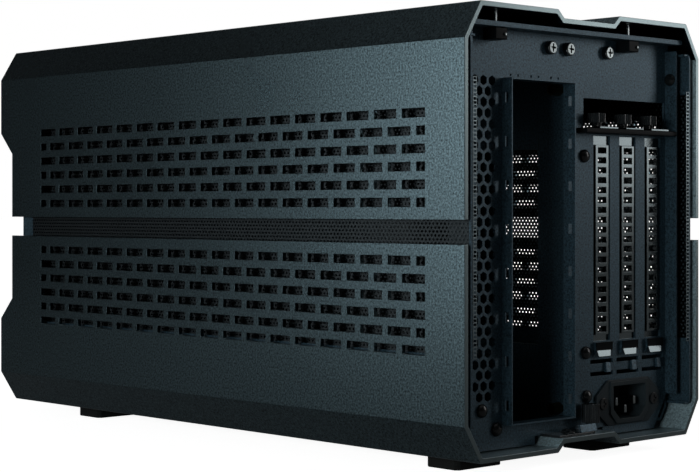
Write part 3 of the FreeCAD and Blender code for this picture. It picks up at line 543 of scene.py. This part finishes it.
def lip_ladder(name):
    """Row of small punched windows along the bent rear lip of the near side panel."""
    width = 2.4 * MM
    web = 0.3 * MM
    sheet = 0.3 * MM
    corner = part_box(NEAR_PANEL)[1]
    middle = (corner.x - 2.6 * MM, corner.y, MESH_LOW)
    piece = begin("plane", name, size=1.0, location=middle, rotation=FACING_REAR)
    bpy.ops.transform.resize(value=(width, 1, HOLE_ROW), center_override=middle)
    bpy.ops.mesh.inset(thickness=web)
    bpy.ops.mesh.delete(type="FACE")
    repeat(piece, MESH_ROW_PAIRS * 2, (0, 0, HOLE_ROW))
    weld(HOLE_WELD)
    apply_modifier(piece, "SOLIDIFY", thickness=sheet, offset=1.0)
    return piece


def mesh_backing(name, x, front_y, rear_y):
    """Thin closed strip in the perforations between two places, with a raised border."""
    thickness = 0.2 * MM
    margin = 0.8 * MM
    border = 0.6 * MM
    border_height = 0.04 * MM
    low_z = MESH_LOW - margin
    high_z = MESH_HIGH + margin
    middle = (x, (front_y + rear_y) / 2, (low_z + high_z) / 2)
    piece = begin_box(name, middle, (thickness, rear_y - front_y, high_z - low_z))
    pick("FACE", lambda centre, normal: abs(normal.x) > LOOKS_ALONG)
    bpy.ops.mesh.inset(thickness=border, depth=-border_height)
    return piece


def far_twin(piece, name, coat):
    """Mirror image for the far side panel, with its faces turned outwards again."""
    twin = own_copy(piece, name)
    twin.data.transform(Matrix.Scale(-1, 4, (1, 0, 0)))
    only(twin)
    bpy.ops.object.mode_set(mode="EDIT")
    bpy.ops.mesh.select_all(action="SELECT")
    bpy.ops.mesh.flip_normals()
    finish(twin, "mesh_coat", stands_for=(FAR_PANEL,), coat=coat)


def side_panels():
    """Both side panels, which are alike, and a closed strip in the perforations of the far one."""
    halfway = MESH_FRONT + HOLE_PITCH * MESH_COLUMNS
    made = [
        (perforated_half("right_mesh_front", MESH_FRONT), "left_mesh_front", "mesh_coat"),
        (perforated_half("right_mesh_rear", halfway), "left_mesh_rear", "mesh_coat"),
        (panel_frame("right_panel_frame"), "left_panel_frame", "panel_coat"),
        # The lip ladder's lighter coat is painted sheen.
        (lip_ladder("right_lip_ladder"), "left_lip_ladder", "mesh_painted_sheen"),
        (mesh_backing("right_mesh_backing", MESH_X, *BACKING_Y), "left_mesh_backing", "black_plastic"),
    ]
    for piece, twin_name, coat in made:
        finish(piece, "mesh_coat", stands_for=(NEAR_PANEL,), coat=coat)
        far_twin(piece, twin_name, coat)
    piece = mesh_backing("left_mesh_lining", -MESH_X, *LINING_Y)
    finish(piece, "mesh_coat", stands_for=(FAR_PANEL,), coat="black_plastic")


# Screws and knobs, and small parts at the rear. Lists of places give x and z in mm.

REAR_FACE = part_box("slot_shelf")[0].y
CARD_PITCH = 20.32 * MM
KNOB_RADIUS = 4.3 * MM
KNOB_FLUTES = 20


def middle_of(node):
    """Middle of a CAD node's box."""
    low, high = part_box(node)
    return (low + high) / 2


def on_rear_face(place):
    """Point on the rear face for a place in mm."""
    return Vector((place[0] * MM, REAR_FACE, place[1] * MM))


def copies_on_rear_face(piece, stem, places):
    """Copies of a piece, which is at the first of the places, at the others."""
    for number, place in enumerate(places[1:], 2):
        shift = on_rear_face(place) - on_rear_face(places[0])
        copy_of(piece, "%s_%d" % (stem, number), shift)


def copies_at_slots(piece, stem, stands_for=()):
    """Copies of a piece, which is at the first expansion slot, at the second and third."""
    for number in (2, 3):
        shift = (-CARD_PITCH * (number - 1), 0, 0)
        copy_of(piece, "%s_%d" % (stem, number), shift, stands_for)


def cut_cross(piece, centre, length, width, depth):
    """Cross recess in the face of a screw that points to the rear."""
    for across, up in ((length, width), (width, length)):
        bar = begin_box("cross_bar", centre, (across, depth * 2, up))
        apply_modifier(piece, "BOOLEAN", object=bar, operation="DIFFERENCE", solver="EXACT")
        bpy.data.objects.remove(bar)


def round_head(name, place, radius, height, rounding):
    """Round screw head on a surface that faces the rear, its outer rim rounded over."""
    x, y, z = place
    top = y + height
    piece = begin("cylinder", name, vertices=40, radius=radius, depth=height,
                  location=(x, y + height / 2, z), rotation=(radians(90), 0, 0))
    pick("EDGE", lambda a, b: abs(a.y - top) < TOUCHING and abs(b.y - top) < TOUCHING)
    bpy.ops.mesh.bevel(offset=rounding, segments=4, profile=0.5)
    return piece


def pan_screws():
    """Three bright cross-head screws below the roof."""
    places = [(15.1, 197.2), (1.9, 197.2), (-27.7, 197.2)]
    height = 2.8 * MM
    first = on_rear_face(places[0])
    piece = round_head("pan_screw_1", first, radius=3.25 * MM, height=height, rounding=0.8 * MM)
    cut_cross(piece, first + Vector((0, height, 0)), length=3.9 * MM, width=0.95 * MM, depth=1.2 * MM)
    finish(piece, "bright_metal")
    copies_on_rear_face(piece, "pan_screw", places)


def dome(name, place, radius, height, facing):
    """Button head: half a ball, flattened, on a thin straight rim."""
    rim = 0.4 * MM
    place = Vector(place)
    facing = Vector(facing)
    piece = begin("uv_sphere", name, segments=28, ring_count=16, radius=radius, location=place)
    bpy.ops.mesh.bisect(plane_co=place, plane_no=facing, clear_inner=True)
    bpy.ops.mesh.select_all(action="SELECT")
    flatten = Vector((1, 1, 1)) + facing * ((height - rim) / radius - 1)
    bpy.ops.transform.resize(value=flatten, center_override=place)
    bpy.ops.transform.translate(value=facing * rim)

    def at_rim(a, b):
        return (a - place).dot(facing) < rim * 1.01 and (b - place).dot(facing) < rim * 1.01

    pick("EDGE", at_rim)
    bpy.ops.mesh.extrude_edges_move(TRANSFORM_OT_translate={"value": -facing * rim})
    bpy.ops.mesh.edge_face_add()
    bpy.ops.mesh.select_all(action="SELECT")
    bpy.ops.mesh.normals_make_consistent(inside=False)
    return piece


def button_heads():
    """Black button heads on the rear panel, on its far flange and on the clip plate."""
    places = [(-10.9, 146.4), (-11.9, 51.0), (-12.6, 29.8), (62.5, 28.6), (52.5, 19.3)]
    piece = dome("button_head_1", on_rear_face(places[0]), radius=3.2 * MM, height=2.4 * MM, facing=(0, 1, 0))
    finish(piece, "black_metal")
    copies_on_rear_face(piece, "button_head", places)
    flange_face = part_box("rear_panel")[0].x + 1.2 * MM
    on_flange = (flange_face, 179.2 * MM, 186.2 * MM)
    piece = dome("flange_head", on_flange, radius=3.1 * MM, height=2.2 * MM, facing=(1, 0, 0))
    finish(piece, "black_metal")
    plate_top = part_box("rear_clip_plate")[1].z
    on_plate = (6.5 * MM, 179.6 * MM, plate_top)
    piece = dome("clip_head_1", on_plate, radius=2.5 * MM, height=1.6 * MM, facing=(0, 0, 1))
    finish(piece, "black_metal")
    copy_of(piece, "clip_head_2", (3.6 * MM, 5.2 * MM, 0))


def cover_toes():
    """Tapered lower tips of the slot covers, tilted out below their tongues."""
    size = (10.6 * MM, 0.4 * MM, 3.0 * MM)
    tilt = 0.55 * MM
    taper = 0.84
    middle = Vector((middle_of("slot_cover_1").x + 0.8 * MM, REAR_FACE + 1.9 * MM, 50.3 * MM))
    piece = begin_box("cover_toe_1", middle, size)
    pick("VERT", lambda point: point.z < middle.z)
    bpy.ops.transform.translate(value=(0, tilt, 0))
    bpy.ops.transform.resize(value=(taper, 1, 1), center_override=middle)
    apply_modifier(piece, "BEVEL", width=0.1 * MM, segments=2)
    finish(piece, "cover_coat")
    copies_at_slots(piece, "cover_toe")


def shaded_tongue_caps():
    """Black caps on the tongues that hold the lower ends of the slot covers, in the barely reflecting black:
    painted shade on the tongues' upright faces.
    """
    size = (12.6 * MM, 0.5 * MM, 4.2 * MM)
    border = 0.5 * MM
    border_height = 0.12 * MM
    middle = Vector((middle_of("slot_cover_1").x, REAR_FACE + 1.75 * MM, 53.6 * MM))
    piece = begin_box("shaded_tongue_cap_1", middle, size)
    pick("FACE", lambda centre, normal: normal.y > LOOKS_ALONG)
    bpy.ops.mesh.inset(thickness=border, depth=-border_height)
    apply_modifier(piece, "BEVEL", width=0.12 * MM, segments=2)
    # Painted shade: the caps take the barely reflecting black.
    finish(piece, "black_metal", coat="black_with_painted_shade")
    copies_at_slots(piece, "shaded_tongue_cap")


def base_saddle():
    """Small bent plate in front of the neck of the lower thumbscrew."""
    size = (12 * MM, 0.8 * MM, 3.6 * MM)
    tilt = 1.0 * MM
    middle = Vector((-1.8 * MM, 185.4 * MM, 16.4 * MM))
    piece = begin_box("base_saddle", middle, size)
    pick("VERT", lambda point: point.z < middle.z)
    bpy.ops.transform.translate(value=(0, tilt, 0))
    apply_modifier(piece, "BEVEL", width=0.25 * MM, segments=2)
    finish(piece, "panel_coat")


def slit_bridges():
    """Small lugs between the two slits below each slot cover, tilted a little upwards."""
    size = (3.6 * MM, 1.0 * MM, 4.8 * MM)
    tilt = 0.7 * MM
    middle = Vector((-28.2 * MM, REAR_FACE + 0.5 * MM, 43.2 * MM))
    piece = begin_box("slit_bridge_1", middle, size)
    pick("VERT", lambda point: point.z < middle.z and point.y > middle.y)
    bpy.ops.transform.translate(value=(0, tilt, 0))
    apply_modifier(piece, "BEVEL", width=0.25 * MM, segments=2)
    finish(piece, "panel_coat")
    copies_at_slots(piece, "slit_bridge")


def inlet_screws():
    """Black countersunk screws at the ends of the power inlet."""
    spacing = 40 * MM
    height = 0.7 * MM
    middle = middle_of("power_inlet")
    first = Vector((middle.x + spacing / 2, REAR_FACE + 1.2 * MM, middle.z))
    piece = round_head("inlet_screw_1", first, radius=3.0 * MM, height=height, rounding=0.25 * MM)
    cut_cross(piece, first + Vector((0, height, 0)), length=3.4 * MM, width=0.8 * MM, depth=0.5 * MM)
    finish(piece, "black_metal")
    copy_of(piece, "inlet_screw_2", (-spacing, 0, 0))


def thumbscrew(name, x, y, low_z, neck_height, knob_height):
    """Fluted knob on a waisted neck, with a dished top."""
    flute_bottom = 0.92
    rim_width = 1.0 * MM
    rim_inside = 3.7 * MM
    dish_depth = 0.5 * MM
    neck_inset = 1.7 * MM
    knob_low = low_z + neck_height
    top = Vector((x, y, knob_low + knob_height))
    piece = begin("cylinder", name, vertices=KNOB_FLUTES * 2, radius=KNOB_RADIUS, depth=knob_height,
                  location=(x, y, knob_low + knob_height / 2))

    def in_flute(point):
        turn = atan2(point.y - y, point.x - x) / (2 * pi)
        return round(turn * KNOB_FLUTES * 2) % 2 == 1

    def on_outer_rim(a, b):
        return all(end.z > top.z - TOUCHING and (end - top).length > rim_inside for end in (a, b))

    pick("VERT", in_flute)
    bpy.ops.transform.resize(value=(flute_bottom, flute_bottom, 1), center_override=(x, y, knob_low))
    pick("FACE", lambda centre, normal: normal.z > LOOKS_ALONG)
    bpy.ops.mesh.inset(thickness=rim_width)
    bpy.ops.mesh.extrude_region_move(TRANSFORM_OT_translate={"value": (0, 0, -dish_depth)})
    pick("EDGE", on_outer_rim)
    bpy.ops.mesh.bevel(offset=0.35 * MM, segments=2)
    pick("FACE", lambda centre, normal: normal.z < -LOOKS_ALONG)
    bpy.ops.mesh.inset(thickness=neck_inset)
    bpy.ops.mesh.extrude_region_move(TRANSFORM_OT_translate={"value": (0, 0, -neck_height)})
    return piece


def thumbscrews():
    """Three knobs on the slot shelf and one on the lower shell's channel."""
    low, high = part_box("slot_thumbscrews")
    piece = thumbscrew("slot_knob_1", high.x - KNOB_RADIUS, (low.y + high.y) / 2, low.z,
                       neck_height=1.9 * MM, knob_height=4.6 * MM)
    finish(piece, "black_metal", stands_for=("slot_thumbscrews",))
    copies_at_slots(piece, "slot_knob", stands_for=("slot_thumbscrews",))
    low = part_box("base_thumbscrew")[0]
    middle = middle_of("base_thumbscrew")
    piece = thumbscrew("base_knob", middle.x, middle.y, low.z, neck_height=4.6 * MM, knob_height=9.0 * MM)
    finish(piece, "black_metal", stands_for=("base_thumbscrew",))


def latch_pins():
    """Bright pin in the rear face of each rear snap catch."""
    spacing = 97.3 * MM
    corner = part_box("snap_catches")[1]
    first = (corner.x - 6.2 * MM, corner.y, corner.z - 3.2 * MM)
    piece = round_head("latch_pin_1", first, radius=0.8 * MM, height=0.7 * MM, rounding=0.3 * MM)
    finish(piece, "bright_metal")
    copy_of(piece, "latch_pin_2", (-spacing, 0, 0))


side_panels()
pan_screws()
button_heads()
cover_toes()
shaded_tongue_caps()
base_saddle()
slit_bridges()
inlet_screws()
thumbscrews()
latch_pins()


# CAD nodes shown with broken edges. The widths are in mm.

broken_edges = {
    "upper_shell": 0.25, "lower_shell": 0.25, "rear_panel": 0.18, "chassis_roof": 0.25, "slot_shelf": 0.3,
    "slot_cover_1": 0.22, "slot_cover_2": 0.22, "slot_cover_3": 0.22,
    "power_inlet": 0.35, "inlet_pins": 0.3, "rear_clip_plate": 0.25, "snap_catches": 0.5,
    "front_panel": 0.2, "power_button": 0.4,
    "front_right_foot": 0.6, "front_left_foot": 0.6, "rear_right_foot": 0.6, "rear_left_foot": 0.6,
}
# These nodes take the barely reflecting black copy: painted shade.
special_coats = {"slot_shelf": "black_with_painted_shade", "snap_catches": "black_with_painted_shade"}
for node, width in broken_edges.items():
    soften(node, width * MM, coat=special_coats.get(node))


# Studio.

BACKDROP = (-0.686, -0.728, 0.0)
BACKDROP_EDGE = (0.75, 0.95)
ROOM_LIGHT = 0.032
CEILING_LIGHT = 0.4
CEILING_EDGE = (0.52, 1.0)


def seen_directly(tree, path):
    """1 for the rays that the camera sends and those that pass through glass."""
    return calculate(tree, "MAXIMUM", path.outputs["Is Camera Ray"], path.outputs["Is Transmission Ray"])


def towards_backdrop(tree, direction):
    """1 where a direction points at the backdrop behind the case, fading to 0 beside it."""
    return ramp(tree, dot_product(tree, direction, BACKDROP), *BACKDROP_EDGE, kind="SMOOTHSTEP")


def pale_floor():
    """White floor that keeps the shadow near the case. Metal mirrors it white only behind the case."""
    bpy.ops.object.select_all(action="DESELECT")
    bpy.ops.mesh.primitive_plane_add(size=30.0)
    floor = bpy.context.object
    floor.name = "studio_floor"
    white = bpy.data.materials.new("pale_floor")
    white.use_nodes = True
    tree = white.node_tree
    shader = tree.nodes["Principled BSDF"]
    shader.inputs["Base Color"].default_value = (0.72, 0.72, 0.72, 1)
    shader.inputs["Roughness"].default_value = 0.9
    shader.inputs["Specular IOR Level"].default_value = 0.0
    shader.inputs["Emission Color"].default_value = (1, 1, 1, 1)
    place = add(tree, "TexCoord").outputs["Object"]
    path = add(tree, "LightPath")
    distance = add(tree, "VectorMath", operation="LENGTH")
    feed(tree, distance.inputs[0], place)
    whiteness = ramp(tree, distance.outputs["Value"], 0.12, 0.4, low=0.92, kind="SMOOTHSTEP")
    heading = add(tree, "VectorMath", operation="NORMALIZE")
    feed(tree, heading.inputs[0], place)
    behind = towards_backdrop(tree, heading.outputs["Vector"])
    mirrored = calculate(tree, "MULTIPLY", path.outputs["Is Glossy Ray"], behind)
    seen = calculate(tree, "MAXIMUM", seen_directly(tree, path), mirrored)
    feed(tree, shader.inputs["Emission Strength"], calculate(tree, "MULTIPLY", seen, whiteness))
    floor.data.materials.append(white)


def white_surroundings():
    """White behind the case for the camera, glass and metal, a pale ceiling for metal, and a dim room."""
    world = bpy.data.worlds.new("studio_room")
    bpy.context.scene.world = world
    world.use_nodes = True
    tree = world.node_tree
    room = tree.nodes["Background"]
    room.inputs["Color"].default_value = (1, 1, 1, 1)
    direction = add(tree, "TexCoord").outputs["Generated"]
    path = add(tree, "LightPath")
    ceiling = ramp(tree, axis_of(tree, direction, "Z"), *CEILING_EDGE, high=CEILING_LIGHT, kind="SMOOTHSTEP")
    shown = calculate(tree, "MAXIMUM", towards_backdrop(tree, direction), ceiling)
    mirrored = calculate(tree, "MULTIPLY", path.outputs["Is Glossy Ray"], shown)
    lit = calculate(tree, "MAXIMUM", mirrored, ROOM_LIGHT)
    feed(tree, room.inputs["Strength"], calculate(tree, "MAXIMUM", seen_directly(tree, path), lit))


def softbox(name, place, target, width, height, watts):
    """Rectangular soft lamp that faces a point."""
    lamp = bpy.data.lights.new(name, "AREA")
    lamp.shape = "RECTANGLE"
    lamp.size = width
    lamp.size_y = height
    lamp.energy = watts
    holder = bpy.data.objects.new(name, lamp)
    holder.location = place
    holder.rotation_euler = (Vector(target) - Vector(place)).to_track_quat("-Z", "Y").to_euler()
    bpy.context.scene.collection.objects.link(holder)
    return holder


def soft_lamps():
    """Two lamps that the coat mirrors, and a fill for the recesses that it doesn't mirror."""
    softbox("side_softbox", place=(1.367, -0.784, 0.249), target=(0.08, 0.1, 0.11), width=0.507, height=0.674,
            watts=2.34)
    softbox("rear_softbox", place=(-1.036, 0.953, 0.509), target=(0.0, 0.18, 0.12), width=0.291, height=0.77,
            watts=3.08)
    recess_fill = softbox("recess_fill", place=(1.3, 0.47, 0.14), target=(-0.05, 0.18, 0.09), width=0.5,
                          height=0.5, watts=11)
    recess_fill.visible_glossy = False


def photo_camera():
    """Camera at the place and with the view that the photo was taken from."""
    lens = bpy.data.cameras.new("photo_camera")
    lens.lens = 91.63
    lens.sensor_width = 36.0
    lens.shift_y = -0.0404
    lens.clip_start = 0.01
    holder = bpy.data.objects.new("photo_camera", lens)
    holder.location = (0.66347, 0.72638, 0.12134)
    holder.rotation_euler = (radians(90), 0, radians(136.70))
    bpy.context.scene.collection.objects.link(holder)
    bpy.context.scene.camera = holder


bpy.context.scene.view_settings.view_transform = "Standard"
pale_floor()
white_surroundings()
soft_lamps()
photo_camera()
